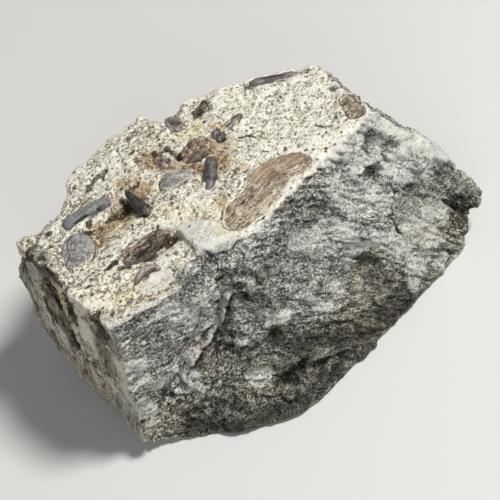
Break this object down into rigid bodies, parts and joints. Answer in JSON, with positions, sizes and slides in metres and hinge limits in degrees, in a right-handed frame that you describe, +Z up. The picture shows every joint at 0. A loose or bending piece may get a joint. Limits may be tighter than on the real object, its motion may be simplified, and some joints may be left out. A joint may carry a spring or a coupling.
{
  "type": "fossil fish bone block",
  "caption": "Broken block of bone bed, cream matrix above and grey rock in front, with a tooth, bones, a scale, nodules and coprolites set in it.",
  "frame": {"origin": "under the middle of the block's box, on the surface that it rests on", "axes": "+X along the block's length, +Z up out of the cream bedding face, -Y out of the grey broken front"},
  "size_m": [0.08, 0.048, 0.0421],
  "materials": {
    "stone": "matte",
    "enamel": "polished",
    "grey_bone": "satin",
    "violet_bone": "satin",
    "brown_bone": "satin",
    "dark_bone": "satin",
    "rust_nodule": "matte",
    "coprolite": "matte"
  },
  "bodies": {
    "root": {"matrix": "stone", "tooth": "enamel", "bone_bar": "grey_bone", "scale_plate": "violet_bone", "hollow_bone": "brown_bone", "small_bone": "violet_bone", "left_bone": "dark_bone", "rib_bone": "brown_bone", "notch_bone_left": "violet_bone", "notch_bone_right": "brown_bone", "violet_bone": "violet_bone", "dark_nodule": "dark_bone", "rust_nodule": "rust_nodule", "segmented_spine": "dark_bone", "grey_plate": "grey_bone", "pit_bone": "violet_bone", "tan_nodule": "coprolite", "rim_bone": "dark_bone", "large_coprolite": "coprolite", "rim_coprolite": "coprolite"}
  },
  "joints": []
}
